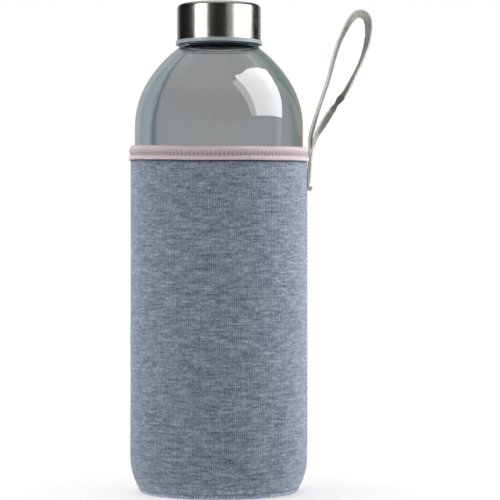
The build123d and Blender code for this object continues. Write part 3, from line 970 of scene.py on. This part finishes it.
METAL = [nodes["lid_shell"], nodes["lid_liner"]]
GLASS_ONLY = [nodes["bottle_glass"]]
STRAP = [wrist_loop, tail_inner, tail_outer, whip_stitches]
SLEEVE = [knit_face, lining_cloth, base_cloth, base_inner]
SLEEVE += [binding_tape, binding_stitches, base_stitches, side_stitches]
SOFTBOX_ACROSS = (0.484, 0.875, -0.001)
SOFTBOX_UP = (-0.658, 0.365, 0.659)
soft_light(
    "softbox",
    center=(0.648, -0.082, 0.606),
    across=SOFTBOX_ACROSS,
    up=SOFTBOX_UP,
    width=0.73,
    height=0.76,
    radiance=11.0,
    diffuse=False,
    glossy=True,
    only=GLASS_ONLY,
)
soft_light(
    "softbox_side",
    center=(0.462, -0.465, 0.586),
    across=SOFTBOX_ACROSS,
    up=SOFTBOX_UP,
    width=0.12,
    height=0.70,
    radiance=4.0,
    diffuse=False,
    glossy=True,
    only=GLASS_ONLY,
)
# Name, azimuth and elevation in degrees, distance, width, height, radiance, diffuse, glossy, receivers
round_light("lid_left", -50, 10, 1.0, 0.60, 0.7, 2.8, False, True, METAL)
round_light("lid_right", 72, 10, 1.0, 1.18, 0.7, 1.9, False, True, METAL)
round_light("lid_glow", 32, 10, 1.0, 0.34, 0.7, 0.32, False, True, METAL)
round_light("glass_left", -82, 2, 1.0, 0.22, 0.10, 0.5, False, True, GLASS_ONLY)
round_light("glass_right", 107, 2, 1.0, 0.16, 0.10, 0.9, False, True, GLASS_ONLY)
round_light("key", 104, 25, 0.9, 0.5, 0.8, 6.2, True, False, SLEEVE + METAL)
round_light("strap_key", 104, 25, 0.9, 0.5, 0.8, 1.6, True, False, STRAP)
round_light("fill", -104, 15, 0.9, 0.5, 0.8, 1.7, True, False)
round_light("overhead", 0, 85, 0.8, 0.6, 0.6, 2.6, True, False)


def make_world():
    """White to the camera. Through the glass, mid-grey behind the bottle, green to its right and pale blue
    to its left. Dark in reflections except from behind, and on cloth a fill that is stronger from behind."""
    world = bpy.data.worlds.new("studio")
    world.use_nodes = True
    tree = world.node_tree
    tree.nodes.clear()
    direction = add(tree, "SeparateXYZ", {"Vector": add(tree, "TexCoord").outputs["Generated"]})
    sideways, behind, above = (direction.outputs[i] for i in range(3))

    def graded(value, start, end, low, high):
        inputs = {"Value": value, "From Min": start, "From Max": end, "To Min": low, "To Max": high}
        return add(tree, "MapRange", inputs).outputs[0]

    mirrored = calc(tree, "ADD", graded(behind, 0.7, 0.9, 0.008, 0.42), graded(above, 0.6, 0.8, 0.0, 0.6))
    on_cloth = calc(tree, "ADD", graded(behind, -0.3, 1.0, 0.56, 1.6), graded(above, -0.35, -0.8, 0.0, 1.2))
    grey, green, olive = (0.42, 0.42, 0.42), (0.22, 0.32, 0.29), (0.33, 0.36, 0.26)
    blue, slate, strip = (0.50, 0.56, 0.60), (0.16, 0.18, 0.20), (0.56, 0.57, 0.57)
    through = [(-0.6, blue), (-0.16, blue), (-0.13, slate), (-0.105, grey), (0.06, grey), (0.075, strip)]
    through += [(0.09, grey), (0.14, grey), (0.19, green), (0.38, olive), (0.6, green)]
    seen_through = ramp(tree, graded(sideways, -0.6, 0.6, 0.0, 1.0), [((x + 0.6) / 1.2, c) for x, c in through])
    path = add(tree, "LightPath")
    white = (1,) * 4
    factor, first, second, result = 0, 6, 7, 2       # the Mix node's sockets for colours
    level = mirrored
    for ray, value in (("Diffuse", on_cloth), ("Transmission", seen_through), ("Camera", white)):
        is_ray = path.outputs["Is " + ray + " Ray"]
        mix = add(tree, "Mix", {factor: is_ray, first: level, second: value}, data_type="RGBA")
        level = mix.outputs[result]
    background = add(tree, "Background", {"Color": level})
    output = tree.nodes.new("ShaderNodeOutputWorld")
    tree.links.new(background.outputs[0], output.inputs["Surface"])
    bpy.context.scene.world = world


def make_floor():
    """A white floor that fades out away from the bottle, so that only its contact shadow shows."""
    rings = np.linspace(0.002, 0.45, 24)
    segments = 96
    angle = np.linspace(0, 2 * math.pi, segments, endpoint=False)
    points = [(r * math.cos(a), r * math.sin(a), -0.05 * MM) for r in rings for a in angle]
    faces = []
    for k in range(len(rings) - 1):
        start, outer = k * segments, (k + 1) * segments
        for i in range(segments):
            after = (i + 1) % segments
            faces.append((start + i, start + after, outer + after, outer + i))
    faces.append(list(range(segments)))
    floor = mesh_object("floor", points, faces)
    material, tree, shader = new_material("pale_floor")
    place = add(tree, "TexCoord").outputs["Object"]
    distance = add(tree, "VectorMath", {0: place}, operation="LENGTH").outputs["Value"]
    inputs = {"Value": distance, "From Min": 0.046, "From Max": 0.10, "To Min": 0.5, "To Max": 0.0}
    fade = add(tree, "MapRange", inputs)
    tree.links.new(fade.outputs[0], shader.inputs["Alpha"])
    shader.inputs["Base Color"].default_value = (0.95, 0.95, 0.95, 1)
    shader.inputs["Roughness"].default_value = 0.9
    floor.data.materials.append(material)


make_world()
make_floor()
bpy.context.scene.view_settings.view_transform = "Standard"
